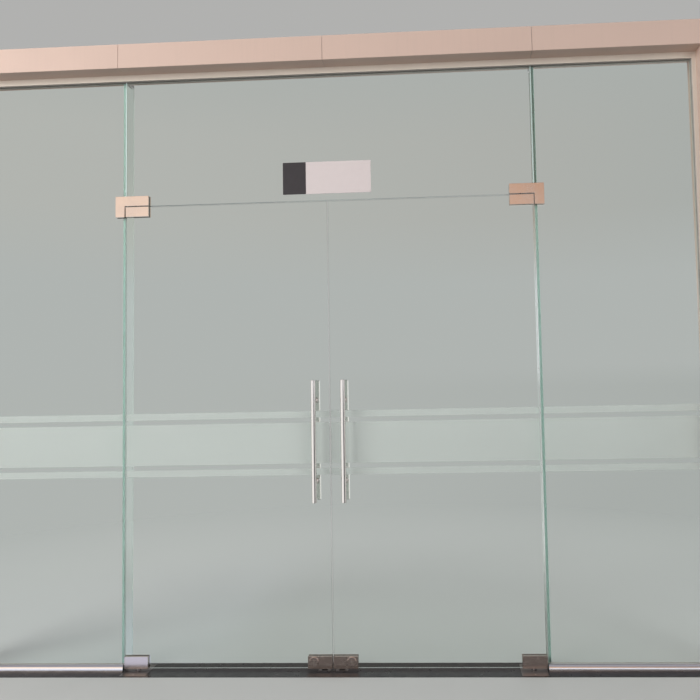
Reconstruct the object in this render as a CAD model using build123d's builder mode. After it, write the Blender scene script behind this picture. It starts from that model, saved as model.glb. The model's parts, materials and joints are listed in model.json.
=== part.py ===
"""Glass entrance door: two frameless swing leaves, two side panes and an overpanel in a clad frame.

X runs along the facade, +Y points indoors and +Z is up, in millimetres. The origin is the middle
of the underside of the frame. The finished floor is level with the top of the sill.
"""
from build123d import *
from math import copysign
import os

# Glass
glass_thickness = 12
glass_arris = 1

# Swing leaves
leaf_width = 1037
leaf_height = 2316
meeting_gap = 6
side_gap = 5
floor_gap = 10
head_gap = 5

# Fixed panes, seen size
side_pane_width = 795
opening_height = 2984

# Sill
sill_height = 60
sill_depth = 186
sill_chamfer = 2

# Steel tubes behind the casing, and the folded casing sheet
tube_face = 120
tube_depth = 200
tube_wall = 6
tube_corner = 10
cladding = 4
fold_radius = 3
panel_joint = 2
anchor_hole_diameter = 14
anchor_row_gap = 120
head_anchor_span = 3000
post_anchor_span = 2400
post_anchor_height = 400

# Glazing channels and bottom rails
channel_width = 46
channel_wall = 4
head_channel_height = 32
jamb_channel_height = 20
head_edge_cover = 18
jamb_edge_cover = 12
rail_wall = 3
rail_height = 32
rail_swell = 16
rail_slot_gap = 3
lip_radius = 1
seal_depth = 8
block_length = 100
block_width = 30
block_height = 6
block_inset = 150
joint_recess = 1

# Glass fins that stiffen the side panes at the leaves, and their shoes on the sill and the soffit
fin_thickness = 12
fin_inset = 3
fin_joint = 2
fin_clearance = 3
liner = 2
shoe_wall = 3
shoe_height = 25
shoe_gap = 4
shoe_setback = 3

# Frosted film bands
film_thickness = 0.3
film_centre_height = 1106
film_band = 204
film_gap = 24
film_strip = 33
film_margin = 1

# Patch fittings
patch_length = 120
top_patch_height = 51
bottom_patch_height = 60
corner_arm_height = 51
corner_side_width = 48
corner_side_height = 108
gasket_thickness = 1
clamp_plate = 8
clamp_gap = 0.5
cover_wall = 1.5
cover_glass_gap = 0.5
cover_radius = 1
notch_length = 100
top_notch_height = 24
bottom_notch_height = 30
side_hole_diameter = 30
notch_radius = 8
notch_clearance = 2
lock_notch_length = 106
lock_notch_height = 50

# Clamp screws
screw_diameter = 6
screw_head_diameter = 10
screw_head_height = 5
screw_end_distance = 14
screw_thread_length = 12
screw_socket = 5
screw_socket_depth = 3

# Hinge line
pivot_distance = 65
running_clearance = 0.05
pin_diameter = 12
pin_seat = 16
pin_end_gap = 1
pin_chamfer = 1
bush_diameter = 18
bush_length = 16
spindle_diameter = 20
spindle_seat = 30
spindle_head_length = 20
spindle_head_width = 10
spindle_head_height = 22

# Floor springs
spring_length = 112
spring_width = 134
spring_height = 40
spring_corner = 6
box_wall = 1.5
box_gap = 1.5
plate_length = 128
plate_width = 150
plate_thickness = 3
plate_corner = 3
plate_hole_diameter = 26
plate_gap = 0.5
plate_screw_diameter = 5
plate_screw_head_diameter = 9.5
plate_screw_spacing = 120
plate_screw_length = 11
plate_screw_seat = 9

# Floor locks
bolt_width = 24
bolt_thickness = 10
bolt_length = 42
bolt_throw = 25
bolt_position = 40
bolt_tip_chamfer = 1.5
bolt_rest_inset = 1
keeper_length = 60
keeper_width = 34
keeper_thickness = 3
keeper_clearance = 3
keeper_bottom_gap = 10
plug_diameter = 16
plug_position = 90
plug_height = 34
plug_proud = 1
rosette_diameter = 46
rosette_height = 6
rosette_bevel = 1.5
key_slot_length = 9
key_slot_width = 2.4
key_slot_depth = 6
thumb_turn_length = 34
thumb_turn_width = 9
thumb_turn_height = 16
thumb_turn_gap = 0.5
thumb_turn_bevel = 1.5

# Pull handles
handle_length = 600
handle_centre_height = 1118
handle_diameter = 25
handle_end_chamfer = 1.5
handle_edge_distance = 70
handle_projection = 56
handle_post_spacing = 400
handle_post_diameter = 18
handle_foot_diameter = 30
handle_foot_height = 5
washer_thickness = 1
stud_diameter = 10
stud_seat = 14
handle_glass_hole = 16

# Heights
floor_z = sill_height
leaf_z0 = floor_z + floor_gap
leaf_z1 = leaf_z0 + leaf_height
over_z0 = leaf_z1 + head_gap
glazed_top = floor_z + opening_height
soffit_z = glazed_top + head_channel_height
beam_z0 = soffit_z + cladding
beam_z1 = beam_z0 + tube_face
pane_z0 = floor_z + rail_wall + block_height
pane_z1 = glazed_top + head_edge_cover
corner_z1 = over_z0 + corner_arm_height
corner_z0 = corner_z1 - corner_side_height
rail_z1 = floor_z + rail_height
fin_z0 = floor_z + shoe_wall + liner
fin_z1 = soffit_z - shoe_wall - liner

# Hollow of the steel tubes
tube_inner_face = tube_face - 2 * tube_wall
tube_inner_depth = tube_depth - 2 * tube_wall
tube_inner_corner = tube_corner - tube_wall

# Places along the facade, on the right-hand side
leaf_x0 = meeting_gap / 2
leaf_x1 = leaf_x0 + leaf_width
side_x0 = leaf_x1 + side_gap
glazed_x = side_x0 + side_pane_width
pane_x1 = glazed_x + jamb_edge_cover
reveal_x = glazed_x + jamb_channel_height
post_x0 = reveal_x + cladding
half_length = post_x0 + tube_face
pivot_x = leaf_x1 - pivot_distance
split_x = leaf_x1 + side_gap / 2
corner_x1 = side_x0 + corner_side_width
fin_x0 = side_x0 + fin_inset
fin_x1 = fin_x0 + fin_thickness
shoe_x0 = fin_x0 - liner - shoe_wall
shoe_x1 = fin_x1 + liner + shoe_wall
handle_x = leaf_x0 + handle_edge_distance
bolt_x = leaf_x0 + bolt_position
plug_x = leaf_x0 + plug_position
plug_z = leaf_z0 + plug_height

# Heights of the hinge, lock and handle
plate_z0 = floor_z - plate_thickness
spring_z0 = plate_z0 - spring_height
box_z0 = spring_z0 - box_wall
box_length = spring_length + 2 * (box_gap + box_wall)
box_width = spring_width + 2 * (box_gap + box_wall)
plate_pocket_length = plate_length + 2 * plate_gap
plate_pocket_width = plate_width + 2 * plate_gap
keeper_depth = bolt_throw - floor_gap - bolt_rest_inset + keeper_bottom_gap
slot_length = bolt_width + 2 * keeper_clearance
slot_width = bolt_thickness + 2 * keeper_clearance
bush_z1 = leaf_z1 - cover_wall
pin_z0 = bush_z1 - bush_length + pin_end_gap
pin_z1 = over_z0 + cover_wall + pin_seat
socket_length = spindle_head_length + 2 * running_clearance
socket_width = spindle_head_width + 2 * running_clearance
film_centre_z = floor_z + film_centre_height
handle_z0 = floor_z + handle_centre_height - handle_length / 2
handle_post_zs = [floor_z + handle_centre_height + end * handle_post_spacing / 2 for end in (-1, 1)]

# Depths, measured out from the middle plane of the glass
glass_y = glass_thickness / 2
clamp_y0 = glass_y + gasket_thickness
clamp_y1 = clamp_y0 + clamp_plate
cover_y0 = glass_y + cover_glass_gap
cover_y1 = clamp_y1 + cover_wall
casing_y = tube_depth / 2 + cladding
seal_y1 = channel_width / 2 - channel_wall
rail_slot_y = glass_y + rail_slot_gap
rail_y1 = rail_slot_y + rail_swell
fin_y0 = glass_y + fin_joint
shoe_y0 = rail_y1 + shoe_gap
shoe_y1 = sill_depth / 2 - shoe_setback
handle_y = glass_y + handle_projection
foot_y = glass_y + washer_thickness
rosette_y = cover_y1 + rosette_height


def rect(x0, x1, y0, y1, mode=Mode.ADD):
    """Rectangle between two corners, in the open sketch."""
    with Locations(((x0 + x1) / 2, (y0 + y1) / 2)):
        Rectangle(x1 - x0, y1 - y0, mode=mode)


def write(part, name):
    """Label one piece and write its file."""
    part.label = name
    export_step(part, f"parts/{name}.step")


def write_pair(part, name):
    """Write a right-hand piece and its mirror image on the left."""
    write(part, f"right_{name}")
    with BuildPart() as left:
        mirror(part, about=Plane.YZ)
    write(left.part, f"left_{name}")


# Outlines of the fittings, seen from outside. Each can be drawn smaller by an inset.
def inset_rect(x0, x1, z0, z1, inset):
    rect(x0 + inset, x1 - inset, z0 + inset, z1 - inset)


def top_outline(inset):
    inset_rect(leaf_x1 - patch_length, leaf_x1, leaf_z1 - top_patch_height, leaf_z1, inset)


def bottom_outline(inset):
    inset_rect(leaf_x1 - patch_length, leaf_x1, leaf_z0, leaf_z0 + bottom_patch_height, inset)


def lock_outline(inset):
    inset_rect(leaf_x0, leaf_x0 + patch_length, leaf_z0, leaf_z0 + bottom_patch_height, inset)


def corner_outline(inset):
    inset_rect(leaf_x1 - patch_length, corner_x1, over_z0, corner_z1, inset)
    inset_rect(side_x0, corner_x1, corner_z0, corner_z1, inset)


# Corner notches of the panes: inner corner X and Z, then the pane's own corner X and Z.
top_notch = (leaf_x1 - notch_length, leaf_z1 - top_notch_height, leaf_x1, leaf_z1)
bottom_notch = (leaf_x1 - notch_length, leaf_z0 + bottom_notch_height, leaf_x1, leaf_z0)
lock_notch = (leaf_x0 + lock_notch_length, leaf_z0 + lock_notch_height, leaf_x0, leaf_z0)
over_notch = (leaf_x1 - notch_length, over_z0 + top_notch_height, leaf_x1, over_z0)
side_hole = (side_x0 + corner_side_width / 2, (corner_z0 + over_z0) / 2)


def toward(start, end, amount):
    """The place that lies an amount from the start, on the way to the end."""
    return start + copysign(amount, end - start)


def notch_rect(notch, inner=0, edge=0, mode=Mode.ADD):
    """Notch area in the open sketch, drawn in from its inner corner and from the pane's edges."""
    x_in, z_in, x_out, z_out = notch
    xs = sorted((toward(x_in, x_out, inner), toward(x_out, x_in, edge)))
    zs = sorted((toward(z_in, z_out, inner), toward(z_out, z_in, edge)))
    rect(*xs, *zs, mode=mode)


def round_notch(sketch, notch, inner=0):
    """Round the inner corner of a notch in a sketch."""
    x_in, z_in, x_out, z_out = notch
    corner = (toward(x_in, x_out, inner), toward(z_in, z_out, inner), 0)
    fillet(sketch.vertices().sort_by_distance(corner)[0], radius=notch_radius - inner)


def pane(x0, x1, z0, z1, notches, holes, hole_diameter):
    """Toughened pane with polished edges, corner notches and round holes."""
    with BuildPart() as glass:
        with BuildSketch(Plane.XZ.offset(-glass_y)) as face:
            rect(x0, x1, z0, z1)
            for notch in notches:
                notch_rect(notch, mode=Mode.SUBTRACT)
                round_notch(face, notch)
            if holes:
                with Locations(*holes):
                    Circle(hole_diameter / 2, mode=Mode.SUBTRACT)
        extrude(amount=glass_thickness)
        chamfer(glass.faces().filter_by(Axis.Y).edges(), length=glass_arris)
    return glass.part


def covers(outline):
    """Outer and inner cover: shallow pans that clip over the clamp halves."""
    with BuildPart() as pans:
        with BuildSketch(Plane.XZ.offset(cover_y0)):
            outline(0)
        extrude(amount=cover_y1 - cover_y0)
        fillet(pans.faces().sort_by(Axis.Y)[0].edges(), radius=cover_radius)
        with BuildSketch(Plane.XZ.offset(cover_y0)):
            outline(cover_wall)
        extrude(amount=clamp_y1 - cover_y0, mode=Mode.SUBTRACT)
        mirror(about=Plane.XZ)
    return pans.part


def clamp(outline, notch):
    """Two clamp halves: the inner one has the boss that fills the notch in the glass."""
    with BuildPart() as halves:
        with BuildSketch(Plane.XZ.offset(clamp_y0)):
            outline(cover_wall)
        extrude(amount=clamp_plate)
        mirror(about=Plane.XZ)
        with BuildSketch(Plane.XZ.offset(-clamp_y0)) as boss:
            notch_rect(notch, inner=notch_clearance, edge=cover_wall)
            round_notch(boss, notch, inner=notch_clearance)
        extrude(amount=2 * clamp_y0 - clamp_gap)
    return halves.part


def gaskets(outline, notch):
    """Fibre gaskets between the clamp halves and the glass."""
    with BuildPart() as pads:
        with BuildSketch(Plane.XZ.offset(glass_y)):
            outline(cover_wall)
            notch_rect(notch, mode=Mode.SUBTRACT)
        extrude(amount=gasket_thickness)
        mirror(about=Plane.XZ)
    return pads.part


def screw_points(notch, ends):
    """Screw places on a boss: at half its height, at the given distances from the pane's edge."""
    x_in, z_in, x_out, z_out = notch
    return [(toward(x_out, x_in, end), (z_in + z_out) / 2) for end in ends]


hinge_screw_ends = (screw_end_distance, notch_length - screw_end_distance)
bolt_end = bolt_position + bolt_width / 2
plug_start = plug_position - plug_diameter / 2
lock_screw_ends = (screw_end_distance, (bolt_end + plug_start) / 2)
top_screws = screw_points(top_notch, hinge_screw_ends)
bottom_screws = screw_points(bottom_notch, hinge_screw_ends)
lock_screws = screw_points(lock_notch, lock_screw_ends)
over_screws = screw_points(over_notch, hinge_screw_ends) + [side_hole]


def screw_bores(points):
    """Counterbored screw holes through the outer clamp half, and on into the inner one."""
    with BuildPart() as bores:
        with BuildSketch(Plane.XZ.offset(clamp_y1)):
            with Locations(*points):
                Circle(screw_head_diameter / 2 + running_clearance)
        extrude(amount=-screw_head_height)
        with BuildSketch(Plane.XZ.offset(clamp_y1)):
            with Locations(*points):
                Circle(screw_diameter / 2 + running_clearance)
        extrude(amount=-(clamp_y1 + screw_thread_length))
    return bores.part


def clamp_screws(points):
    """Cap screws that draw the clamp halves together, with hexagon sockets."""
    with BuildPart() as bolts:
        with BuildSketch(Plane.XZ.offset(clamp_y1)):
            with Locations(*points):
                Circle(screw_head_diameter / 2)
        extrude(amount=-screw_head_height)
        with BuildSketch(Plane.XZ.offset(clamp_y1 - screw_head_height)):
            with Locations(*points):
                Circle(screw_diameter / 2)
        extrude(amount=-(clamp_y1 - screw_head_height + screw_thread_length))
        with BuildSketch(Plane.XZ.offset(clamp_y1)):
            with Locations(*points):
                RegularPolygon(screw_socket / 2, 6, major_radius=False)
        extrude(amount=-screw_socket_depth, mode=Mode.SUBTRACT)
    return bolts.part


os.makedirs("parts", exist_ok=True)

# Stone sill between the posts, pocketed for the floor springs and the keepers
with BuildPart() as sill:
    with BuildSketch():
        rect(-post_x0, post_x0, -sill_depth / 2, sill_depth / 2)
    extrude(amount=sill_height)
    chamfer(sill.edges().filter_by(Axis.X).group_by(Axis.Z)[-1], length=sill_chamfer)
    with BuildSketch(Plane.XY.offset(floor_z)):
        with Locations((-pivot_x, 0), (pivot_x, 0)):
            RectangleRounded(plate_pocket_length, plate_pocket_width, plate_corner + plate_gap)
        with Locations((-bolt_x, 0), (bolt_x, 0)):
            Rectangle(keeper_length, keeper_width)
    extrude(amount=-plate_thickness, mode=Mode.SUBTRACT)
    with BuildSketch(Plane.XY.offset(floor_z)):
        with Locations((-pivot_x, 0), (pivot_x, 0)):
            RectangleRounded(box_length, box_width, spring_corner + box_gap + box_wall)
    extrude(amount=box_z0 - floor_z, mode=Mode.SUBTRACT)
    with BuildSketch(Plane.XY.offset(floor_z)):
        with Locations((-bolt_x, 0), (bolt_x, 0)):
            Rectangle(slot_length, slot_width)
    extrude(amount=-keeper_depth, mode=Mode.SUBTRACT)
write(sill.part, "sill")

# Steel beam over the opening, with its upward anchor holes
with BuildPart() as head_beam:
    with BuildSketch(Plane.YZ.offset(-half_length)):
        with Locations((0, (beam_z0 + beam_z1) / 2)):
            RectangleRounded(tube_depth, tube_face, tube_corner)
            RectangleRounded(tube_inner_depth, tube_inner_face, tube_inner_corner, mode=Mode.SUBTRACT)
    extrude(amount=2 * half_length)
    with BuildSketch(Plane.XY.offset(beam_z1)):
        with GridLocations(head_anchor_span, anchor_row_gap, 2, 2):
            Circle(anchor_hole_diameter / 2)
    extrude(amount=-tube_wall - tube_corner, mode=Mode.SUBTRACT)
write(head_beam.part, "head_beam")

# Steel posts at both ends, standing on the ground beside the sill, with anchor holes into the wall
with BuildPart() as side_posts:
    with BuildSketch():
        with Locations((post_x0 + tube_face / 2, 0)):
            RectangleRounded(tube_face, tube_depth, tube_corner)
            RectangleRounded(tube_inner_face, tube_inner_depth, tube_inner_corner, mode=Mode.SUBTRACT)
    extrude(amount=beam_z0)
    with BuildSketch(Plane.YZ.offset(half_length)):
        with Locations((0, post_anchor_height + post_anchor_span / 2)):
            with GridLocations(anchor_row_gap, post_anchor_span, 2, 2):
                Circle(anchor_hole_diameter / 2)
    extrude(amount=-tube_wall - tube_corner, mode=Mode.SUBTRACT)
    mirror(about=Plane.YZ)
write(side_posts.part, "side_posts")

# Folded sheet casing of the beam, in butt-jointed panels that meet over the leaf edges
casing_splits = (-half_length, -split_x, 0, split_x, half_length)
with BuildPart() as head_casing:
    for start, end in zip(casing_splits, casing_splits[1:]):
        panel_x0 = start + panel_joint / 2 * (start > -half_length)
        panel_x1 = end - panel_joint / 2 * (end < half_length)
        with BuildSketch(Plane.YZ.offset(panel_x0)) as profile:
            rect(-casing_y, casing_y, soffit_z, beam_z1)
            fillet(profile.vertices().group_by(Axis.Y)[0], radius=fold_radius)
            rect(-tube_depth / 2, tube_depth / 2, beam_z0, beam_z1, mode=Mode.SUBTRACT)
        extrude(amount=panel_x1 - panel_x0)
    with BuildSketch(Plane.XY.offset(soffit_z)):
        rect(post_x0, half_length, -tube_depth / 2, tube_depth / 2)
        mirror(about=Plane.YZ)
    extrude(amount=cladding, mode=Mode.SUBTRACT)
write(head_casing.part, "head_casing")

# Folded sheet casing of the posts
with BuildPart() as jamb_casings:
    with BuildSketch(Plane.XY.offset(floor_z)) as profile:
        rect(reveal_x, half_length, -casing_y, casing_y)
        fillet(profile.vertices().group_by(Axis.X)[0], radius=fold_radius)
        rect(post_x0, half_length, -tube_depth / 2, tube_depth / 2, mode=Mode.SUBTRACT)
    extrude(amount=soffit_z - floor_z)
    mirror(about=Plane.YZ)
write(jamb_casings.part, "jamb_casings")

# Glazing channel under the soffit
with BuildPart() as head_channel:
    with BuildSketch(Plane.YZ.offset(-glazed_x)) as profile:
        rect(-channel_width / 2, channel_width / 2, glazed_top, soffit_z)
        rect(-seal_y1, seal_y1, glazed_top, soffit_z - channel_wall, mode=Mode.SUBTRACT)
        fillet(profile.vertices().group_by(Axis.Y)[0], radius=lip_radius)
    extrude(amount=2 * glazed_x)
write(head_channel.part, "head_channel")

# Glazing channels up both jambs
with BuildPart() as jamb_channels:
    with BuildSketch(Plane.XY.offset(floor_z)) as profile:
        rect(glazed_x, reveal_x, -channel_width / 2, channel_width / 2)
        rect(glazed_x, reveal_x - channel_wall, -seal_y1, seal_y1, mode=Mode.SUBTRACT)
        fillet(profile.vertices().group_by(Axis.X)[0], radius=lip_radius)
    extrude(amount=soffit_z - floor_z)
    mirror(about=Plane.YZ)
write(jamb_channels.part, "jamb_channels")


def rail_outline(inset):
    """Swelling outline of a rail, with its foot on the sill."""
    with Locations((-rail_slot_y, floor_z), (rail_slot_y, floor_z)):
        Ellipse(rail_swell - inset, rail_height - inset)
    rect(-rail_slot_y, rail_slot_y, floor_z, rail_z1 - inset)
    rect(-rail_y1, rail_y1, floor_z - rail_height, floor_z + inset, mode=Mode.SUBTRACT)


# Polished rails that hold the feet of the side panes
with BuildPart() as bottom_rails:
    with BuildSketch(Plane.YZ.offset(side_x0)):
        rail_outline(0)
    extrude(amount=glazed_x - side_x0)
    with BuildSketch(Plane.YZ.offset(side_x0)):
        rail_outline(rail_wall)
        rect(-rail_slot_y, rail_slot_y, floor_z + rail_wall, rail_z1)
    extrude(amount=glazed_x - side_x0, mode=Mode.SUBTRACT)
    mirror(about=Plane.YZ)
write(bottom_rails.part, "bottom_rails")

# Shoes of the fins on the sill, and the same under the soffit
mid_plane = Plane.XY.offset((floor_z + soffit_z) / 2)
with BuildPart() as fin_shoes:
    with BuildSketch(Plane.XZ.offset(-shoe_y1)):
        rect(shoe_x0, shoe_x1, floor_z, floor_z + shoe_height)
        rect(shoe_x0 + shoe_wall, shoe_x1 - shoe_wall, floor_z + shoe_wall, floor_z + shoe_height,
             mode=Mode.SUBTRACT)
    extrude(amount=shoe_y1 - shoe_y0)
    mirror(about=mid_plane)
    mirror(about=Plane.YZ)
write(fin_shoes.part, "fin_shoes")

# Glazing seals along the head, the jambs and the rails, on both faces of the glass, and the fins' liners
with BuildPart() as frame_seals:
    with BuildSketch(Plane.YZ.offset(-glazed_x)):
        rect(glass_y, seal_y1, glazed_top, glazed_top + seal_depth)
    extrude(amount=2 * glazed_x)
    with BuildSketch(Plane.XY.offset(pane_z0)):
        rect(glazed_x, glazed_x + seal_depth, glass_y, seal_y1)
        mirror(about=Plane.YZ)
    extrude(amount=pane_z1 - pane_z0)
    with BuildSketch(Plane.YZ.offset(side_x0)):
        rect(glass_y, rail_slot_y, rail_z1 - rail_wall, rail_z1)
    extrude(amount=glazed_x - side_x0)
    with BuildSketch(Plane.YZ.offset(-glazed_x)):
        rect(glass_y, rail_slot_y, rail_z1 - rail_wall, rail_z1)
    extrude(amount=glazed_x - side_x0)
    mirror(about=Plane.XZ)
    with BuildSketch(Plane.XZ.offset(-shoe_y1)):
        rect(fin_x0 - liner, fin_x1 + liner, floor_z + shoe_wall, floor_z + shoe_height)
        rect(fin_x0, fin_x1, fin_z0, floor_z + shoe_height, mode=Mode.SUBTRACT)
        mirror(about=Plane.YZ)
    extrude(amount=shoe_y1 - shoe_y0)
    with BuildSketch(Plane.XZ.offset(-shoe_y1)):
        rect(fin_x0 - liner, fin_x1 + liner, soffit_z - shoe_height, soffit_z - shoe_wall)
        rect(fin_x0, fin_x1, soffit_z - shoe_height, fin_z1, mode=Mode.SUBTRACT)
        mirror(about=Plane.YZ)
    extrude(amount=shoe_y1 - shoe_y0)
write(frame_seals.part, "frame_seals")

# Setting blocks that carry the side panes in the rails
with BuildPart() as setting_blocks:
    with BuildSketch(Plane.XY.offset(floor_z + rail_wall)):
        with Locations((side_x0 + block_inset, 0), (glazed_x - block_inset, 0)):
            Rectangle(block_length, block_width)
        mirror(about=Plane.YZ)
    extrude(amount=block_height)
write(setting_blocks.part, "setting_blocks")

# Panes
leaf_handle_points = [(handle_x, z) for z in handle_post_zs]
leaf_pane = pane(leaf_x0, leaf_x1, leaf_z0, leaf_z1, [top_notch, bottom_notch, lock_notch],
                 leaf_handle_points, handle_glass_hole)
write_pair(leaf_pane, "leaf_glass")
side_pane = pane(side_x0, pane_x1, pane_z0, pane_z1, [], [side_hole], side_hole_diameter)
write_pair(side_pane, "side_glass")
left_over_notch = (-over_notch[0], over_notch[1], -over_notch[2], over_notch[3])
overpanel = pane(-leaf_x1, leaf_x1, over_z0, pane_z1, [over_notch, left_over_notch], [], 0)
write(overpanel, "overpanel_glass")

# Fins behind the side panes, notched round the rails, the corner fittings and the head channel
rail_notch = (rail_y1 + fin_clearance, rail_z1 + fin_clearance, fin_y0, fin_z0)
arm_notch = (cover_y1 + fin_clearance, corner_z0 - fin_clearance, fin_y0, over_z0)
corner_notch = (cover_y1 + fin_clearance, corner_z1 + fin_clearance, fin_y0, over_z0)
head_notch = (channel_width / 2 + fin_clearance, glazed_top - fin_clearance, fin_y0, fin_z1)
with BuildPart() as glass_fins:
    with BuildSketch(Plane.YZ.offset(fin_x0)) as face:
        rect(fin_y0, casing_y, fin_z0, fin_z1)
        for notch in (rail_notch, arm_notch, corner_notch, head_notch):
            notch_rect(notch, mode=Mode.SUBTRACT)
        for notch in (rail_notch, arm_notch, corner_notch, head_notch):
            round_notch(face, notch)
    extrude(amount=fin_thickness)
    chamfer(glass_fins.faces().filter_by(Axis.X).edges(), length=glass_arris)
    mirror(about=Plane.YZ)
write(glass_fins.part, "glass_fins")

# Silicone joints between the overpanel and the side panes, and between the panes and the fins
with BuildPart() as edge_joints:
    with BuildSketch(Plane.XY.offset(corner_z1)):
        rect(leaf_x1, side_x0, -glass_y + joint_recess, glass_y - joint_recess)
        mirror(about=Plane.YZ)
    extrude(amount=pane_z1 - corner_z1)
    for start, end in ((rail_notch[1], arm_notch[1]), (corner_notch[1], head_notch[1])):
        with BuildSketch(Plane.XY.offset(start)):
            rect(fin_x0 + glass_arris, fin_x1 - glass_arris, glass_y, fin_y0)
            mirror(about=Plane.YZ)
        extrude(amount=end - start)
write(edge_joints.part, "edge_joints")


def film(x0, x1):
    """Frosted film on the indoor face: a band between two strips."""
    with BuildPart() as layers:
        with BuildSketch(Plane.XZ.offset(-glass_y)):
            rect(x0, x1, film_centre_z - film_band / 2, film_centre_z + film_band / 2)
            strip_z0 = film_centre_z + film_band / 2 + film_gap
            rect(x0, x1, strip_z0, strip_z0 + film_strip)
            strip_z1 = film_centre_z - film_band / 2 - film_gap
            rect(x0, x1, strip_z1 - film_strip, strip_z1)
        extrude(amount=-film_thickness)
    return layers.part


write_pair(film(leaf_x0 + film_margin, leaf_x1 - film_margin), "leaf_film")
with BuildPart() as side_film:
    add(film(fin_x1, glazed_x))
    mirror(about=Plane.YZ)
write(side_film.part, "side_film")

# Corner fittings that tie the overpanel to the side panes and hold the top pivots
write_pair(covers(corner_outline), "corner_covers")
with BuildPart() as corner_clamp:
    add(clamp(corner_outline, over_notch))
    with BuildSketch(Plane.XZ.offset(-clamp_y0)):
        with Locations(side_hole):
            Circle(side_hole_diameter / 2 - notch_clearance)
    extrude(amount=2 * clamp_y0 - clamp_gap)
    with BuildSketch(Plane.XY.offset(over_z0)):
        with Locations((pivot_x, 0)):
            Circle(pin_diameter / 2 + running_clearance)
    extrude(amount=pin_z1 - over_z0, mode=Mode.SUBTRACT)
    add(screw_bores(over_screws), mode=Mode.SUBTRACT)
write_pair(corner_clamp.part, "corner_clamp")

with BuildPart() as corner_gaskets:
    with BuildSketch(Plane.XZ.offset(glass_y)):
        corner_outline(cover_wall)
        notch_rect(over_notch, mode=Mode.SUBTRACT)
        rect(leaf_x1, side_x0, over_z0, corner_z1, mode=Mode.SUBTRACT)
        with Locations(side_hole):
            Circle(side_hole_diameter / 2, mode=Mode.SUBTRACT)
    extrude(amount=gasket_thickness)
    mirror(about=Plane.XZ)
    mirror(about=Plane.YZ)
write(corner_gaskets.part, "corner_gaskets")

# Fixed top pivot pins
with BuildPart() as pivot_pins:
    with BuildSketch(Plane.XY.offset(pin_z0)):
        with Locations((-pivot_x, 0), (pivot_x, 0)):
            Circle(pin_diameter / 2)
    extrude(amount=pin_z1 - pin_z0)
    chamfer(pivot_pins.faces().group_by(Axis.Z)[0].edges(), length=pin_chamfer)
write(pivot_pins.part, "pivot_pins")

# Floor springs in their boxes, under flush cover plates
with BuildPart() as floor_boxes:
    with BuildSketch(Plane.XY.offset(box_z0)):
        with Locations((-pivot_x, 0), (pivot_x, 0)):
            RectangleRounded(box_length, box_width, spring_corner + box_gap + box_wall)
    extrude(amount=plate_z0 - box_z0)
    with BuildSketch(Plane.XY.offset(spring_z0)):
        with Locations((-pivot_x, 0), (pivot_x, 0)):
            RectangleRounded(box_length - 2 * box_wall, box_width - 2 * box_wall, spring_corner + box_gap)
    extrude(amount=spring_height, mode=Mode.SUBTRACT)
write(floor_boxes.part, "floor_boxes")

plate_screw_y = plate_screw_spacing / 2
plate_screw_points = [(x, y) for x in (-pivot_x, pivot_x) for y in (-plate_screw_y, plate_screw_y)]
with BuildPart() as floor_springs:
    with BuildSketch(Plane.XY.offset(spring_z0)):
        with Locations((-pivot_x, 0), (pivot_x, 0)):
            RectangleRounded(spring_length, spring_width, spring_corner)
    extrude(amount=spring_height)
    with BuildSketch(Plane.XY.offset(plate_z0)):
        with Locations((-pivot_x, 0), (pivot_x, 0)):
            Circle(spindle_diameter / 2 + running_clearance)
    extrude(amount=-spindle_seat, mode=Mode.SUBTRACT)
    with BuildSketch(Plane.XY.offset(plate_z0)):
        with Locations(*plate_screw_points):
            Circle(plate_screw_diameter / 2)
    extrude(amount=-plate_screw_seat, mode=Mode.SUBTRACT)
write(floor_springs.part, "floor_springs")

with BuildPart() as floor_covers:
    with BuildSketch(Plane.XY.offset(plate_z0)):
        with Locations((-pivot_x, 0), (pivot_x, 0)):
            RectangleRounded(plate_length, plate_width, plate_corner)
            Circle(plate_hole_diameter / 2, mode=Mode.SUBTRACT)
    extrude(amount=plate_thickness)
    with Locations(*[(x, y, floor_z) for x, y in plate_screw_points]):
        CounterSinkHole(plate_screw_diameter / 2, plate_screw_head_diameter / 2, plate_thickness)
write(floor_covers.part, "floor_covers")

with BuildPart() as keeper_plates:
    with BuildSketch(Plane.XY.offset(floor_z - keeper_thickness)):
        with Locations((-bolt_x, 0), (bolt_x, 0)):
            Rectangle(keeper_length, keeper_width)
            Rectangle(slot_length, slot_width, mode=Mode.SUBTRACT)
    extrude(amount=keeper_thickness)
write(keeper_plates.part, "keeper_plates")

# Screws of the corner fittings and of the floor cover plates
plate_screw_radius = plate_screw_diameter / 2 - running_clearance
plate_screw_head_radius = plate_screw_head_diameter / 2 - running_clearance
plate_screw_head_height = plate_screw_head_radius - plate_screw_radius
with BuildPart() as frame_screws:
    add(clamp_screws(over_screws))
    mirror(about=Plane.YZ)
    with BuildSketch(Plane.XY.offset(floor_z - plate_screw_length)):
        with Locations(*plate_screw_points):
            Circle(plate_screw_radius)
    extrude(amount=plate_screw_length)
    with Locations(*[(x, y, floor_z) for x, y in plate_screw_points]):
        Cone(plate_screw_radius, plate_screw_head_radius, plate_screw_head_height,
             align=(Align.CENTER, Align.CENTER, Align.MAX))
write(frame_screws.part, "frame_screws")

# Top patch of a leaf, with the bush that turns on the fixed pin
write_pair(covers(top_outline), "top_covers")
with BuildPart() as top_clamp:
    add(clamp(top_outline, top_notch))
    with BuildSketch(Plane.XY.offset(bush_z1)):
        with Locations((pivot_x, 0)):
            Circle(bush_diameter / 2)
    extrude(amount=-bush_length, mode=Mode.SUBTRACT)
    add(screw_bores(top_screws), mode=Mode.SUBTRACT)
write_pair(top_clamp.part, "top_clamp")

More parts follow.
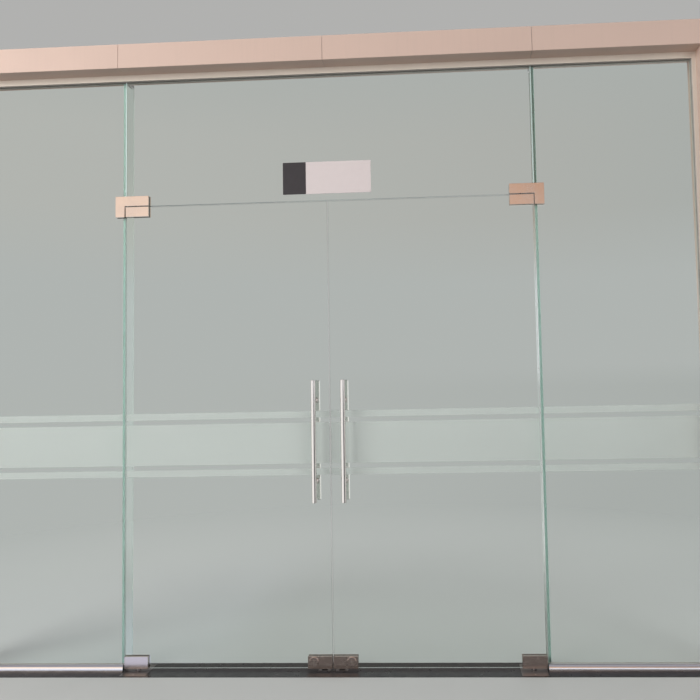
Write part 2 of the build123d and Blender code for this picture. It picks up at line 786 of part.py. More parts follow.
with BuildPart() as top_bush:
    with BuildSketch(Plane.XY.offset(bush_z1)):
        with Locations((pivot_x, 0)):
            Circle(bush_diameter / 2 - running_clearance)
            Circle(pin_diameter / 2 + running_clearance, mode=Mode.SUBTRACT)
    extrude(amount=-bush_length)
write_pair(top_bush.part, "top_bush")

# Bottom patch of a leaf, carried and turned by the spindle of the floor spring
write_pair(covers(bottom_outline), "bottom_covers")
with BuildPart() as bottom_clamp:
    add(clamp(bottom_outline, bottom_notch))
    with BuildSketch(Plane.XY.offset(leaf_z0)):
        with Locations((pivot_x, 0)):
            Rectangle(socket_length, socket_width)
    extrude(amount=spindle_head_height, mode=Mode.SUBTRACT)
    add(screw_bores(bottom_screws), mode=Mode.SUBTRACT)
write_pair(bottom_clamp.part, "bottom_clamp")

with BuildPart() as spindle:
    with BuildSketch(Plane.XY.offset(plate_z0 - spindle_seat)):
        with Locations((pivot_x, 0)):
            Circle(spindle_diameter / 2)
    extrude(amount=leaf_z0 - plate_z0 + spindle_seat)
    with BuildSketch(Plane.XY.offset(leaf_z0)):
        with Locations((pivot_x, 0)):
            Rectangle(spindle_head_length, spindle_head_width)
    extrude(amount=spindle_head_height)
write_pair(spindle.part, "spindle")

# Floor lock of a leaf: covers with raised rosettes, case, bolt and turning cylinder
with BuildPart() as lock_covers:
    add(covers(lock_outline))
    with BuildSketch(Plane.XZ.offset(cover_y1)):
        with Locations((plug_x, plug_z)):
            Circle(rosette_diameter / 2)
    extrude(amount=rosette_height)
    chamfer(lock_covers.faces().sort_by(Axis.Y)[0].edges(), length=rosette_bevel)
    with BuildSketch(Plane.XZ.offset(-cover_y1)):
        with Locations((plug_x, plug_z)):
            Circle(rosette_diameter / 2)
    extrude(amount=-rosette_height)
    chamfer(lock_covers.faces().sort_by(Axis.Y)[-1].edges(), length=rosette_bevel)
    with BuildSketch(Plane.XZ.offset(-rosette_y)):
        with Locations((plug_x, plug_z)):
            Circle(plug_diameter / 2 + running_clearance)
    extrude(amount=2 * rosette_y, mode=Mode.SUBTRACT)
write_pair(lock_covers.part, "lock_covers")

with BuildPart() as lock_case:
    add(clamp(lock_outline, lock_notch))
    with BuildSketch(Plane.XY.offset(leaf_z0)):
        with Locations((bolt_x, 0)):
            Rectangle(bolt_width + 2 * running_clearance, bolt_thickness + 2 * running_clearance)
    extrude(amount=bolt_rest_inset + bolt_length, mode=Mode.SUBTRACT)
    with BuildSketch(Plane.XZ.offset(-clamp_y1)):
        with Locations((plug_x, plug_z)):
            Circle(plug_diameter / 2 + running_clearance)
    extrude(amount=2 * clamp_y1, mode=Mode.SUBTRACT)
    add(screw_bores(lock_screws), mode=Mode.SUBTRACT)
write_pair(lock_case.part, "lock_case")

with BuildPart() as lock_bolt:
    with BuildSketch(Plane.XY.offset(leaf_z0 + bolt_rest_inset)):
        with Locations((bolt_x, 0)):
            Rectangle(bolt_width, bolt_thickness)
    extrude(amount=bolt_length)
    chamfer(lock_bolt.faces().sort_by(Axis.Z)[0].edges(), length=bolt_tip_chamfer)
write_pair(lock_bolt.part, "lock_bolt")

with BuildPart() as lock_cylinder:
    with BuildSketch(Plane.XZ.offset(rosette_y + plug_proud)):
        with Locations((plug_x, plug_z)):
            Circle(plug_diameter / 2)
    extrude(amount=-(2 * rosette_y + plug_proud + thumb_turn_gap))
    with BuildSketch(Plane.XZ.offset(rosette_y + plug_proud)):
        with Locations((plug_x, plug_z)):
            Rectangle(key_slot_width, key_slot_length)
    extrude(amount=-key_slot_depth, mode=Mode.SUBTRACT)
    with BuildSketch(Plane.XZ.offset(-rosette_y - thumb_turn_gap)):
        with Locations((plug_x, plug_z)):
            SlotOverall(thumb_turn_length, thumb_turn_width, rotation=90)
    extrude(amount=-thumb_turn_height)
    chamfer(lock_cylinder.faces().sort_by(Axis.Y)[-1].edges(), length=thumb_turn_bevel)
write_pair(lock_cylinder.part, "lock_cylinder")


def pull_bar():
    """Round pull bar on two footed posts, on the outdoor face."""
    with BuildPart() as bar:
        with BuildSketch(Plane.XY.offset(handle_z0)):
            with Locations((handle_x, -handle_y)):
                Circle(handle_diameter / 2)
        extrude(amount=handle_length)
        chamfer(bar.faces().filter_by(Axis.Z).edges(), length=handle_end_chamfer)
        with BuildSketch(Plane.XZ.offset(foot_y)):
            with Locations(*leaf_handle_points):
                Circle(handle_foot_diameter / 2)
        extrude(amount=handle_foot_height)
        with BuildSketch(Plane.XZ.offset(foot_y)):
            with Locations(*leaf_handle_points):
                Circle(handle_post_diameter / 2)
        extrude(amount=handle_y - foot_y)
    return bar.part


# Pull handles in pairs: the studs of the indoor one pass through the glass into the outdoor one
with BuildPart() as outer_handle:
    add(pull_bar())
    with BuildSketch(Plane.XZ.offset(foot_y)):
        with Locations(*leaf_handle_points):
            Circle(stud_diameter / 2 + running_clearance)
    extrude(amount=stud_seat + pin_end_gap, mode=Mode.SUBTRACT)
write_pair(outer_handle.part, "outer_handle")

with BuildPart() as inner_handle:
    mirror(pull_bar(), about=Plane.XZ)
    with BuildSketch(Plane.XZ.offset(-foot_y)):
        with Locations(*leaf_handle_points):
            Circle(stud_diameter / 2)
    extrude(amount=2 * foot_y + stud_seat)
write_pair(inner_handle.part, "inner_handle")

# Gaskets of the three fittings of a leaf, and the washers of its handles
with BuildPart() as leaf_gaskets:
    add(gaskets(top_outline, top_notch))
    add(gaskets(bottom_outline, bottom_notch))
    add(gaskets(lock_outline, lock_notch))
    with BuildSketch(Plane.XZ.offset(glass_y)):
        with Locations(*leaf_handle_points):
            Circle(handle_foot_diameter / 2)
            Circle(handle_glass_hole / 2, mode=Mode.SUBTRACT)
    extrude(amount=washer_thickness)
    with BuildSketch(Plane.XZ.offset(-glass_y)):
        with Locations(*leaf_handle_points):
            Circle(handle_foot_diameter / 2)
            Circle(handle_glass_hole / 2, mode=Mode.SUBTRACT)
    extrude(amount=-washer_thickness)
write_pair(leaf_gaskets.part, "leaf_gaskets")

# Clamp screws of a leaf
with BuildPart() as leaf_screws:
    for points in (top_screws, bottom_screws, lock_screws):
        add(clamp_screws(points))
write_pair(leaf_screws.part, "leaf_screws")
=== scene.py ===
import json
import math

import bmesh
import bpy
from mathutils import Matrix, Vector


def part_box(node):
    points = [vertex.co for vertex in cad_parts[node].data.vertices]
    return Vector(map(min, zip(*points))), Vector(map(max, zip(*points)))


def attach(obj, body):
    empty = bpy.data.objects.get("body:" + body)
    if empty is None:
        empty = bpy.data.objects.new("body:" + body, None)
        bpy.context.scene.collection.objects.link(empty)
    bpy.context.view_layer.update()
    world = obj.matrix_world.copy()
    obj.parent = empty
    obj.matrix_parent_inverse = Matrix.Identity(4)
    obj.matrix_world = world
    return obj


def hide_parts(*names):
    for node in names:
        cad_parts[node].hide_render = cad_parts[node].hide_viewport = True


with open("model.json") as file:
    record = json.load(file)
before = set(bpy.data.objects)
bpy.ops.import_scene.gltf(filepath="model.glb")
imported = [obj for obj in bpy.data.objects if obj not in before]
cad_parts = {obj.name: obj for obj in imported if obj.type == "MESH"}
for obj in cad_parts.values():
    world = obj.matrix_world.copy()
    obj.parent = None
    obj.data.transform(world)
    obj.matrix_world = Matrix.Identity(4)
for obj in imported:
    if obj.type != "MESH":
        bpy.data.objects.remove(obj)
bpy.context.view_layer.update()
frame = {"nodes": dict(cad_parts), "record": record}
nodes = frame["nodes"]

# Lengths are in metres and angles in radians. Colours are linear red, green and blue. A zone is a pair of
# values between which one thing turns into another. A direction's height is the sine of its angle above
# level.

# Photograph: side in pixels, and how far its middle lies right of the lens axis
photo_side = 700
photo_offset = 60

# Camera, in the frame of the part, with its lens and sensor in millimetres
camera_place = (0.5725, -3.4878, 1.4209)
camera_yaw = -0.04771
camera_pitch = 0.05682
camera_roll = -0.02001
camera_lens = 36
camera_sensor = 36
camera_nearest = 0.05
camera_farthest = 200

# Lamps, two outdoors and two indoors: place, point that they shine at, size, watts and colour
lamps = {
    "key": ((-4.6, -4.6, 4.0), (0.3, 0, 1.6), (4.4, 3.4), 295, (1.0, 0.985, 0.97)),
    "fill": ((4.4, -4.4, 3.2), (0, 0, 1.4), (2.0, 2.6), 54, (1.0, 0.97, 0.94)),
    "indoor_key": ((3.4, 5.0, 4.4), (0, 0, 1.6), (3.0, 2.4), 160, (1.0, 0.985, 0.96)),
    "indoor_fill": ((-4.4, 4.4, 3.2), (0, 0, 1.4), (2.0, 2.6), 60, (1.0, 0.97, 0.94)),
}

# Light from all round, which turns from the ground's colour to the sky's by the height of its direction,
# and the plain background that is seen instead of it
ground_color = (0.62, 0.58, 0.55)
sky_color = (0.86, 0.90, 0.96)
horizon_zone = (-0.4, 0.6)
world_strength = 0.50
background_color = (0.44, 0.44, 0.432)

# Floor: its colour, the part of it that its dim clouds keep, its reach, and the distances where it fades
# into the background
floor_color = (0.58, 0.57, 0.556)
floor_clouds = 0.96
floor_reach = 40
floor_roughness = 0.55
floor_weld = 1e-5
fade_zone = (1.7, 5.0)

# Floor as it lights the object, near and far, so that the casing's underside stays dark
floor_bounce = (0.29, 0.275, 0.28)
far_bounce = (0.18, 0.17, 0.175)

# Floor as polished surfaces mirror it: bright at the left and dark at the right, with the change between
# them by X, and the distances where the studio takes its place
floor_mirrored = ((0.74, 0.78, 0.98), (0.155, 0.136, 0.13))
floor_change_zone = (-0.8, -0.4)
studio_zone = (1.2, 3.0)

# Studio that polished surfaces mirror. It has two opposite bright sides, and changes from layer to layer
# by height. Three tones are for its dark, middle and bright sides. The indoor zones are by the part of a
# direction that leads inward and by its height.
mirror_side = (-0.78, -0.62, 0)
middle_zone = (0.2, 0.5)
bright_zone = (0.5, 0.85)
mirror_far = ((0.07, 0.07, 0.075), (0.60, 0.59, 0.595), (1.10, 1.09, 1.08))
mirror_level = (1.10, 1.09, 1.13)
mirror_warm = ((0.07, 0.055, 0.045), (0.80, 0.44, 0.245), (1.42, 1.12, 0.90))
mirror_high = (0.38, 0.37, 0.40)
mirror_indoors = (0.17, 0.165, 0.16)
mirror_overhead = (0.16, 0.155, 0.15)
level_zone = (0.0, 0.03)
warm_zone = (0.15, 0.24)
high_zone = (0.34, 0.46)
overhead_zone = (0.88, 0.97)
indoors_zone = (0.1, 0.4)
indoors_height_zone = (0.12, 0.3)

# Zones of noise: nearly all of it, and its higher blotches
all_noise = (0.3, 0.7)
high_noise = (0.35, 0.75)

# Stretch of a metal's grain
across_grain = (0.02, 1, 1)
upright_grain = (1, 1, 0.02)
no_grain = (1, 1, 1)

# Clear glass: its surface, what it absorbs inside, its edges, which are where the surface turns from the
# large faces' axis, and the light of the lamps that it lets through
glass_color = (0.97, 1.0, 0.985)
glass_ior = 1.5
glass_absorbed = (0.0, 0.60, 0.42)
glass_density = 4.5
glass_facing_zone = (0.3, 0.8)
glass_edge_share = 0.5
glass_edge_glow = 0.5
glass_edge_roughness = 0.25
glass_shadow = (0.92, 0.945, 0.935)

# Frosted films: tones, roughness, how much light glows through and how much passes clear, the body that
# each rides on, and how far they are off the glass
film_tones = ((0.905, 0.885, 0.885), (0.94, 0.92, 0.92))
film_roughness = 0.55
film_glow = 0.45
film_clear = (0.05, 0.09)
film_bodies = {"side_film": "root", "left_leaf_film": "left_leaf", "right_leaf_film": "right_leaf"}
film_gap = 0.00006

# Plaque on the overpanel
plaque_width = 0.450
plaque_height = 0.165
plaque_dark_width = 0.118
plaque_gap = 0.034
plaque_thickness = 0.002
plaque_skin = 0.0006
plaque_corner = 0.003
plaque_corner_steps = 6
plaque_bevel = 0.0004
plaque_bevel_steps = 2


# Node trees
def link(tree, value, socket):
    """Feed a socket from another socket, or set its value."""
    if isinstance(value, bpy.types.NodeSocket):
        tree.links.new(value, socket)
    elif socket.type == "RGBA" and len(value) == 3:
        socket.default_value = (*value, 1)
    else:
        socket.default_value = value


def put(tree, kind, *values, settings=None, **inputs):
    """A new node. The values go to its first inputs, and the others are named as in Blender, with
    underscores for spaces."""
    made = tree.nodes.new(kind)
    for name, value in (settings or {}).items():
        setattr(made, name, value)
    for value, socket in zip(values, made.inputs):
        link(tree, value, socket)
    for name, value in inputs.items():
        link(tree, value, made.inputs[name.replace("_", " ")])
    return made


def shader(tree, kind, **inputs):
    """The output of a new shader node."""
    return put(tree, kind, **inputs).outputs[0]


def mix_shaders(tree, factor, first, second):
    """Shader between two shaders."""
    return put(tree, "ShaderNodeMixShader", factor, first, second).outputs[0]


def mix(tree, factor, first, second):
    """Colour between two colours, for which the Mix node has its inputs 6 and 7 and its output 2."""
    made = put(tree, "ShaderNodeMix", settings={"data_type": "RGBA"})
    for socket, value in ((made.inputs[0], factor), (made.inputs[6], first), (made.inputs[7], second)):
        link(tree, value, socket)
    return made.outputs[2]


def math_node(tree, operation, *values, clamp=False):
    """The result of a sum with one or two numbers."""
    settings = {"operation": operation, "use_clamp": clamp}
    return put(tree, "ShaderNodeMath", *values, settings=settings).outputs[0]


def vector_node(tree, operation, *values):
    """A sum with one or two vectors."""
    return put(tree, "ShaderNodeVectorMath", *values, settings={"operation": operation})


def spread(tree, value, zone, low=0, high=1):
    """From low to high, as a value goes through a zone."""
    made = put(tree, "ShaderNodeMapRange", Value=value)
    for name, number in zip(("From Min", "From Max", "To Min", "To Max"), (*zone, low, high)):
        made.inputs[name].default_value = number
    return made.outputs["Result"]


def axes(tree, vector):
    """The parts of a vector along X, Y and Z."""
    return put(tree, "ShaderNodeSeparateXYZ", Vector=vector).outputs


def place(tree, stretch=(1, 1, 1)):
    """Place on the piece in metres, stretched along its axes."""
    source = put(tree, "ShaderNodeTexCoord").outputs["Object"]
    return put(tree, "ShaderNodeMapping", Vector=source, Scale=stretch).outputs["Vector"]


def noise(tree, size, stretch=(1, 1, 1), detail=3):
    """Noise whose blotches measure about a size in metres."""
    made = put(tree, "ShaderNodeTexNoise", Vector=place(tree, stretch), Scale=1 / size, Detail=detail)
    return made.outputs["Fac"]


def bump(tree, height, depth, strength):
    """Normal of a surface with a height pattern of a depth in metres."""
    made = put(tree, "ShaderNodeBump", Height=height, Distance=depth, Strength=strength)
    return made.outputs["Normal"]


# Materials
def material(name, build):
    """A material. The function build gives its surface and, for glass, its volume."""
    made = bpy.data.materials.new(name)
    made.use_nodes = True
    tree = made.node_tree
    tree.nodes.clear()
    put(tree, "ShaderNodeOutputMaterial", *build(tree))
    return made


def scaled(color, factor, more=0):
    """A colour times a factor, and a little more."""
    return tuple(factor * part + more for part in color)


def plain(tree, color, roughness, normal, **more):
    """A Principled surface."""
    return shader(tree, "ShaderNodeBsdfPrincipled", Base_Color=color, Roughness=roughness, Normal=normal,
                  **more)


def metal(color, roughness, grain):
    """Metal whose grain runs along the axis with the small stretch, a little tarnished in clouds."""
    def build(tree):
        lines = noise(tree, size=0.0004, stretch=grain, detail=2)
        cloud = noise(tree, size=0.09)
        shade = scaled(color, factor=0.93)
        tone = mix(tree, spread(tree, lines, all_noise), shade, color)
        tarnish = mix(tree, spread(tree, cloud, zone=(0.45, 0.8), high=0.5), tone, shade)
        grained = spread(tree, lines, all_noise, *roughness)
        smudges = spread(tree, cloud, all_noise, low=-0.03, high=0.04)
        normal = bump(tree, lines, depth=0.00001, strength=0.25)
        return [plain(tree, tarnish, math_node(tree, "ADD", grained, smudges), normal, Metallic=1)]
    return build


def coated(color, dusty, roughness):
    """Satin coating on sheet metal: orange peel, soft clouds and faint runs of dust."""
    def build(tree):
        cloud = noise(tree, size=0.45)
        runs = noise(tree, size=0.012, stretch=(1, 1, 0.05), detail=4)
        peel = noise(tree, size=0.0025, detail=1)
        tone = mix(tree, spread(tree, cloud, high_noise, high=0.5), color, dusty)
        worn = mix(tree, spread(tree, runs, zone=(0.52, 0.8), high=0.35), tone, dusty)
        gloss = spread(tree, cloud, all_noise, *roughness)
        normal = bump(tree, peel, depth=0.00005, strength=0.25)
        return [plain(tree, worn, gloss, normal, Coat_Weight=0.15, Coat_Roughness=0.2)]
    return build


def granite(blacks, fleck, roughness):
    """Polished dark granite with fine paler crystals."""
    def build(tree):
        crystals = put(tree, "ShaderNodeTexVoronoi", Vector=place(tree), Scale=320).outputs["Distance"]
        grains = noise(tree, size=0.0035, detail=4)
        dark = mix(tree, spread(tree, grains, zone=(0.42, 0.62)), *blacks)
        tone = mix(tree, spread(tree, crystals, zone=(0.12, 0.22), low=1, high=0), dark, fleck)
        gloss = spread(tree, noise(tree, size=0.05), all_noise, *roughness)
        return [plain(tree, tone, gloss, bump(tree, grains, depth=0.00003, strength=0.3))]
    return build


def soft(color, roughness, grain=0.0012, cloudy=1.5):
    """Rubber, silicone or moulded plastic with a fine grain and paler clouds."""
    def build(tree):
        fine = noise(tree, size=grain, detail=2)
        cloud = noise(tree, size=0.03)
        pale = scaled(color, factor=cloudy, more=0.005)
        tone = mix(tree, spread(tree, cloud, high_noise, high=0.5), color, pale)
        gloss = spread(tree, fine, all_noise, *roughness)
        return [plain(tree, tone, gloss, bump(tree, fine, depth=0.00005, strength=0.4))]
    return build


def cast(color, roughness, metallic):
    """Cast metal, bare or painted, with a sandy skin."""
    def build(tree):
        skin = noise(tree, size=0.0018, detail=4)
        cloud = noise(tree, size=0.04)
        tone = mix(tree, spread(tree, cloud, all_noise), color, scaled(color, factor=0.75))
        gloss = spread(tree, skin, all_noise, *roughness)
        return [plain(tree, tone, gloss, bump(tree, skin, depth=0.0002, strength=0.5), Metallic=metallic)]
    return build


def glass(faces_look_along, edge_tones):
    """Clear toughened glass with a green body and polished edges that glow blue-green. Its large faces
    look along an axis, and the others are its edges."""
    def build(tree):
        smears = noise(tree, size=0.16, stretch=(1, 1, 0.45), detail=5)
        waves = noise(tree, size=0.35, stretch=(0.15, 1, 1), detail=0)
        gloss = spread(tree, smears, zone=(0.55, 0.85), high=0.02)
        normal = bump(tree, waves, depth=0.0003, strength=0.1)
        clear = plain(tree, glass_color, gloss, normal, IOR=glass_ior, Transmission_Weight=1)
        edge_tone = mix(tree, noise(tree, size=0.3), *edge_tones)
        skin = shader(tree, "ShaderNodeBsdfPrincipled", Base_Color=edge_tone,
                      Roughness=glass_edge_roughness)
        glow = shader(tree, "ShaderNodeBsdfTranslucent", Color=edge_tone)
        edge = mix_shaders(tree, glass_edge_glow, skin, glow)
        across = axes(tree, put(tree, "ShaderNodeTexCoord").outputs["Normal"])[faces_look_along]
        facing = math_node(tree, "ABSOLUTE", across)
        edge_share = spread(tree, facing, glass_facing_zone, low=glass_edge_share, high=0)
        body = mix_shaders(tree, edge_share, clear, edge)
        by_lamp = put(tree, "ShaderNodeLightPath").outputs["Is Shadow Ray"]
        lit = shader(tree, "ShaderNodeBsdfTransparent", Color=glass_shadow)
        green = shader(tree, "ShaderNodeVolumeAbsorption", Color=glass_absorbed, Density=glass_density)
        return [mix_shaders(tree, by_lamp, body, lit), green]
    return build


def frosted(tree):
    """Frosted vinyl: a milky veil that lets a little through."""
    fine = noise(tree, size=0.0009, detail=2)
    cloud = noise(tree, size=0.25)
    tone = mix(tree, cloud, *film_tones)
    veil = plain(tree, tone, film_roughness, bump(tree, fine, depth=0.00003, strength=0.5))
    glow = shader(tree, "ShaderNodeBsdfTranslucent", Color=tone)
    milk = mix_shaders(tree, film_glow, veil, glow)
    clear = shader(tree, "ShaderNodeBsdfTransparent")
    return [mix_shaders(tree, spread(tree, cloud, all_noise, *film_clear), milk, clear)]


# Look of each material slot
slot_looks = {
    "dark_stone": granite(((0.007, 0.007, 0.009), (0.024, 0.023, 0.024)), fleck=(0.065, 0.06, 0.06),
                          roughness=(0.26, 0.4)),
    "tube_steel": coated((0.36, 0.37, 0.38), dusty=(0.27, 0.28, 0.29), roughness=(0.45, 0.6)),
    "casing_sheet": coated((0.74, 0.55, 0.46), dusty=(0.67, 0.505, 0.425), roughness=(0.32, 0.45)),
    "channel": coated((0.84, 0.76, 0.66), dusty=(0.76, 0.68, 0.59), roughness=(0.3, 0.42)),
    "polished_steel": metal((0.82, 0.83, 0.86), roughness=(0.12, 0.20), grain=across_grain),
    "seal": soft((0.58, 0.52, 0.48), roughness=(0.5, 0.7), cloudy=1.1),
    "clear_silicone": soft((0.66, 0.80, 0.76), roughness=(0.25, 0.4), cloudy=1.12),
    "gasket": soft((0.05, 0.05, 0.05), roughness=(0.6, 0.8)),
    "block": soft((0.03, 0.03, 0.03), roughness=(0.4, 0.55)),
    "clear_glass": glass("Y", edge_tones=((0.565, 0.64, 0.60), (0.66, 0.735, 0.70))),
    "frosted_film": frosted,
    "patch_steel": metal((0.71, 0.64, 0.59), roughness=(0.18, 0.27), grain=across_grain),
    "clamp_metal": cast((0.56, 0.56, 0.57), roughness=(0.4, 0.6), metallic=1),
    "machined_steel": metal((0.56, 0.56, 0.57), roughness=(0.25, 0.38), grain=no_grain),
    "bush_bronze": cast((0.60, 0.43, 0.20), roughness=(0.35, 0.5), metallic=1),
    "spring_iron": cast((0.045, 0.045, 0.05), roughness=(0.45, 0.65), metallic=0),
    "cylinder_metal": metal((0.74, 0.72, 0.68), roughness=(0.18, 0.26), grain=no_grain),
    "handle_steel": metal((0.84, 0.81, 0.78), roughness=(0.12, 0.18), grain=upright_grain),
}

# Looks of the plaque, and of nodes that differ from their slot
more_looks = {
    "trodden_steel": metal((0.34, 0.325, 0.32), roughness=(0.3, 0.42), grain=no_grain),
    # Fins: the same glass as the panes, with paler edge tones that are a painted highlight on the fins'
    # edges
    "fin_glass_painted_edge_light": glass("X", edge_tones=((0.76, 0.85, 0.80), (0.84, 0.92, 0.88))),
    "plate_white": soft((0.80, 0.715, 0.70), roughness=(0.3, 0.45), grain=0.002, cloudy=1.03),
    "plate_dark": soft((0.034, 0.033, 0.038), roughness=(0.3, 0.45), grain=0.002, cloudy=1.1),
}
node_looks = {"glass_fins": "fin_glass_painted_edge_light", "floor_covers": "trodden_steel", "keeper_plates": "trodden_steel"}
materials = {name: material(name, build) for name, build in (slot_looks | more_looks).items()}


# Object
def dress_nodes():
    """Give each CAD node its own material, or else that of its slot."""
    for part in frame["record"]["subparts"]:
        mesh = nodes[part["node"]].data
        mesh.materials.clear()
        mesh.materials.append(materials[node_looks.get(part["node"], part["material_slot"])])


def mesh_object(name, mesh, look):
    """A new object made of a bmesh."""
    data = bpy.data.meshes.new(name)
    mesh.to_mesh(data)
    mesh.free()
    data.materials.append(look)
    made = bpy.data.objects.new(name, data)
    bpy.context.scene.collection.objects.link(made)
    return made


def piece(name, mesh, look, body):
    """A new piece of the object, which rides on a body."""
    made = mesh_object(name, mesh, materials[look])
    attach(made, body)
    return made


def films():
    """Frosted films a hair off the glass, so that light leaves the pane before it meets them."""
    for node, body in film_bodies.items():
        low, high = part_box(node)
        half = (low.y + high.y) / 2
        mesh = bmesh.new()
        mesh.from_mesh(nodes[node].data)
        for vertex in mesh.verts:
            if vertex.co.y < half:
                vertex.co.y = low.y + film_gap
        made = piece(node + "_sheet", mesh, "frosted_film", body)
        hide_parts(node)


def sheet_plate(x0, x1, z0, z1, y0, y1, bevel):
    """Upright plate with round corners and softened edges, as a bmesh."""
    left, right = x0 + plaque_corner, x1 - plaque_corner
    low, high = z0 + plaque_corner, z1 - plaque_corner
    mesh = bmesh.new()
    ring = []
    for quarter, (x, z) in enumerate(((right, high), (left, high), (left, low), (right, low))):
        for step in range(plaque_corner_steps + 1):
            angle = math.pi / 2 * (quarter + step / plaque_corner_steps)
            across, up = plaque_corner * math.cos(angle), plaque_corner * math.sin(angle)
            ring.append(mesh.verts.new((x + across, y0, z + up)))
    face = mesh.faces.new(ring)
    grown = bmesh.ops.extrude_face_region(mesh, geom=[face])
    moved = [item for item in grown["geom"] if isinstance(item, bmesh.types.BMVert)]
    bmesh.ops.translate(mesh, vec=(0, y1 - y0, 0), verts=moved)
    rims = [edge for edge in mesh.edges if abs(edge.verts[0].co.y - edge.verts[1].co.y) < bevel / 2]
    bmesh.ops.bevel(mesh, geom=rims, offset=bevel, segments=plaque_bevel_steps, profile=0.5,
                    affect="EDGES")
    bmesh.ops.recalc_face_normals(mesh, faces=mesh.faces)
    return mesh


def plaque():
    """Bare plaque on the outdoor face of the overpanel: a pale plate with a dark field on its left."""
    low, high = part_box("overpanel_glass")
    x0 = (low.x + high.x - plaque_width) / 2
    z0 = low.z + plaque_gap
    z1 = z0 + plaque_height
    front = low.y - plaque_thickness
    plate = sheet_plate(x0, x0 + plaque_width, z0, z1, front, low.y, plaque_bevel)
    piece("plaque_plate", plate, "plate_white", "root")
    field = sheet_plate(x0, x0 + plaque_dark_width, z0, z1, front - plaque_skin, front, plaque_skin / 3)
    piece("plaque_field", field, "plate_dark", "root")


# Floor and surroundings
def stage():
    """Pale floor around the sill and the posts, level with the top of the sill."""
    sill_low, sill_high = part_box("sill")
    post_low, post_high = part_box("side_posts")
    xs = (-floor_reach, post_low.x, sill_low.x, sill_high.x, post_high.x, floor_reach)
    ys = (-floor_reach, post_low.y, sill_low.y, sill_high.y, post_high.y, floor_reach)
    mesh = bmesh.new()
    for x0, x1 in zip(xs, xs[1:]):
        for y0, y1 in zip(ys, ys[1:]):
            x, y = (x0 + x1) / 2, (y0 + y1) / 2
            on_sill = abs(x) < sill_high.x and abs(y) < sill_high.y
            on_post = sill_high.x < abs(x) < post_high.x and abs(y) < post_high.y
            if on_sill or on_post:
                continue
            corners = ((x0, y0), (x1, y0), (x1, y1), (x0, y1))
            mesh.faces.new([mesh.verts.new((cx, cy, sill_high.z)) for cx, cy in corners])
    bmesh.ops.remove_doubles(mesh, verts=mesh.verts, dist=floor_weld)
    floor = mesh_object("floor", mesh, material("floor", floor_look))


def floor_look(tree):
    """Pale floor that fades into the background far away. It is darker where it lights the object, and
    polished surfaces mirror it in tones of their own, with the studio beyond it."""
    path = put(tree, "ShaderNodeLightPath").outputs
    by_bounce = path["Is Diffuse Ray"]
    by_mirror = math_node(tree, "SUBTRACT", path["Is Glossy Ray"], path["Is Transmission Ray"], clamp=True)
    spot = place(tree)
    distance = vector_node(tree, "LENGTH", spot).outputs["Value"]
    heading = vector_node(tree, "NORMALIZE", spot).outputs["Vector"]
    pale = mix(tree, noise(tree, size=0.6), scaled(floor_color, floor_clouds), floor_color)
    near_tone = mix(tree, by_bounce, pale, floor_bounce)
    near = shader(tree, "ShaderNodeBsdfPrincipled", Base_Color=near_tone, Roughness=floor_roughness)
    far = shader(tree, "ShaderNodeEmission", Color=mix(tree, by_bounce, background_color, far_bounce))
    seen = mix_shaders(tree, spread(tree, distance, fade_zone), near, far)
    floor_tone = mix(tree, spread(tree, axes(tree, spot)["X"], floor_change_zone), *floor_mirrored)
    studio_tone = sides(tree, heading, mirror_far)
    in_mirror = mix(tree, spread(tree, distance, studio_zone), floor_tone, studio_tone)
    return [mix_shaders(tree, by_mirror, seen, shader(tree, "ShaderNodeEmission", Color=in_mirror))]


def sides(tree, toward, shades):
    """A studio that is bright toward two opposite sides and dark between them."""
    dark, middle, bright = shades
    along = vector_node(tree, "DOT_PRODUCT", toward, mirror_side).outputs["Value"]
    side = math_node(tree, "ABSOLUTE", along)
    dim = mix(tree, spread(tree, side, middle_zone), dark, middle)
    return mix(tree, spread(tree, side, bright_zone), dim, bright)


def mirrored(tree):
    """What polished surfaces mirror: bright at level, warm above that, and dim higher up, overhead and
    indoors."""
    toward = put(tree, "ShaderNodeTexCoord").outputs["Generated"]
    parts = axes(tree, toward)
    inward, height = parts["Y"], parts["Z"]
    level = mix(tree, spread(tree, height, level_zone), sides(tree, toward, mirror_far), mirror_level)
    warm = mix(tree, spread(tree, height, warm_zone), level, sides(tree, toward, mirror_warm))
    high = mix(tree, spread(tree, height, high_zone), warm, mirror_high)
    indoors_share = math_node(tree, "MULTIPLY", spread(tree, inward, indoors_zone),
                              spread(tree, height, indoors_height_zone))
    indoors = mix(tree, indoors_share, high, mirror_indoors)
    return mix(tree, spread(tree, height, overhead_zone), indoors, mirror_overhead)


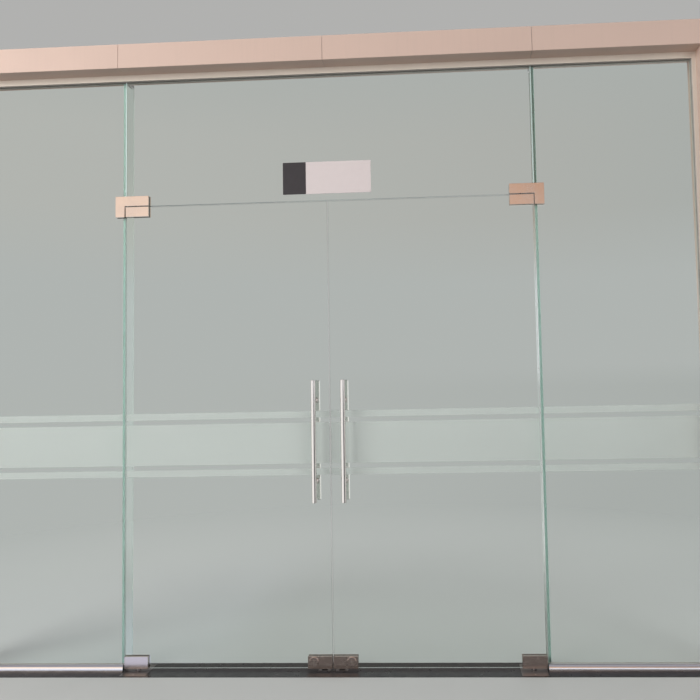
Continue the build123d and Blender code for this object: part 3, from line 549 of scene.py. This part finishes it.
def surroundings():
    """Soft light from all round, the studio in mirrors, and a plain background where it is seen or seen
    through glass."""
    world = bpy.data.worlds.new("studio")
    world.use_nodes = True
    bpy.context.scene.world = world
    tree = world.node_tree
    tree.nodes.clear()
    height = axes(tree, put(tree, "ShaderNodeTexCoord").outputs["Generated"])["Z"]
    tone = mix(tree, spread(tree, height, horizon_zone), ground_color, sky_color)
    light = shader(tree, "ShaderNodeBackground", Color=tone, Strength=world_strength)
    studio = shader(tree, "ShaderNodeBackground", Color=mirrored(tree))
    seen = shader(tree, "ShaderNodeBackground", Color=background_color)
    path = put(tree, "ShaderNodeLightPath").outputs
    by_sight = math_node(tree, "MAXIMUM", path["Is Camera Ray"], path["Is Transmission Ray"])
    lit = mix_shaders(tree, path["Is Glossy Ray"], light, studio)
    put(tree, "ShaderNodeOutputWorld", mix_shaders(tree, by_sight, lit, seen))


def lamp(name, place_at, aim, size, watts, color):
    """Soft rectangular lamp that shines at a point and isn't seen or mirrored itself."""
    data = bpy.data.lights.new(name, "AREA")
    data.shape = "RECTANGLE"
    data.size, data.size_y = size
    data.energy = watts
    data.color = color
    made = bpy.data.objects.new(name, data)
    bpy.context.scene.collection.objects.link(made)
    made.location = place_at
    made.visible_camera = False
    made.visible_glossy = False
    made.visible_transmission = False
    made.rotation_euler = (Vector(aim) - Vector(place_at)).to_track_quat("-Z", "Y").to_euler()


def camera():
    """Camera at the photograph's place, with its yaw, pitch and roll."""
    forward = Vector((math.sin(camera_yaw) * math.cos(camera_pitch),
                      math.cos(camera_yaw) * math.cos(camera_pitch), math.sin(camera_pitch)))
    level = Vector((math.cos(camera_yaw), -math.sin(camera_yaw), 0))
    upright = level.cross(forward)
    right = math.cos(camera_roll) * level + math.sin(camera_roll) * upright
    up = math.cos(camera_roll) * upright - math.sin(camera_roll) * level
    data = bpy.data.cameras.new("camera")
    data.lens = camera_lens
    data.sensor_width = camera_sensor
    data.shift_x = -photo_offset / photo_side
    data.clip_start = camera_nearest
    data.clip_end = camera_farthest
    made = bpy.data.objects.new("camera", data)
    bpy.context.scene.collection.objects.link(made)
    turned = Matrix((right, up, -forward)).transposed()
    made.matrix_world = Matrix.Translation(camera_place) @ turned.to_4x4()
    bpy.context.scene.camera = made


camera()
surroundings()
for lamp_name, lamp_row in lamps.items():
    lamp(lamp_name, *lamp_row)
stage()
dress_nodes()
films()
plaque()
bpy.context.scene.view_settings.view_transform = "Standard"
